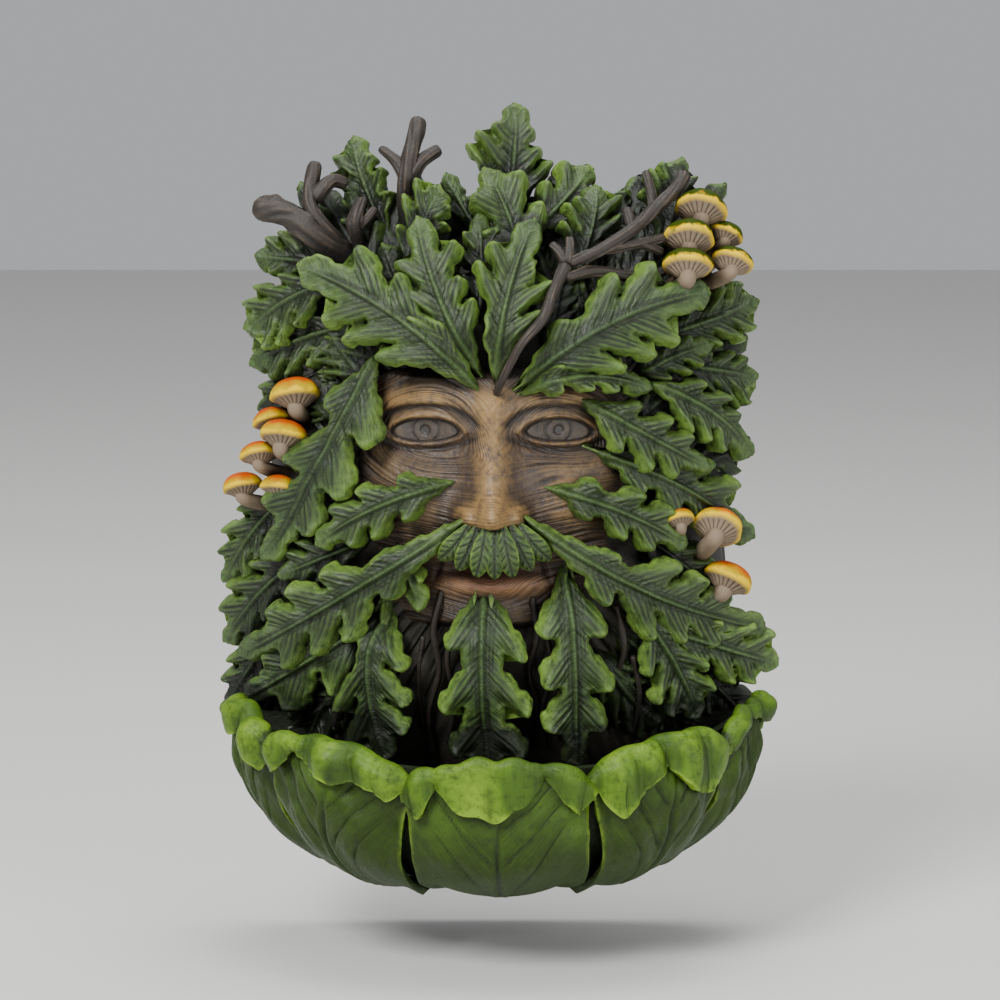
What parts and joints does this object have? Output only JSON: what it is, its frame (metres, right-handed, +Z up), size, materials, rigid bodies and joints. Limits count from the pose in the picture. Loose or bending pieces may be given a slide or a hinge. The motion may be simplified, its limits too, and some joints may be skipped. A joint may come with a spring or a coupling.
{
  "type": "green man wall mask",
  "caption": "Wall-hung foliate head with oak-leaf hair and beard, branches, small mushrooms, and a half-round basin of curled leaf petals below the beard.",
  "frame": {"origin": "on the flat back at the wall plane, at mid height of the head", "axes": "+Z up, +X to the right of someone looking at the mask, -Y out from the wall towards them"},
  "size_m": [0.2184, 0.1164, 0.3042],
  "materials": {
    "painted_leaf": "satin, green with a dark wash and dry-brushed yellow-green edges",
    "painted_skin": "satin, ochre over an umber wash",
    "painted_bark": "satin, grey-brown with pale streaks",
    "painted_mushroom": "satin, yellow to orange caps with pale gilled undersides"
  },
  "bodies": {
    "root": {"green_man_mask": "painted_leaf"}
  },
  "joints": []
}
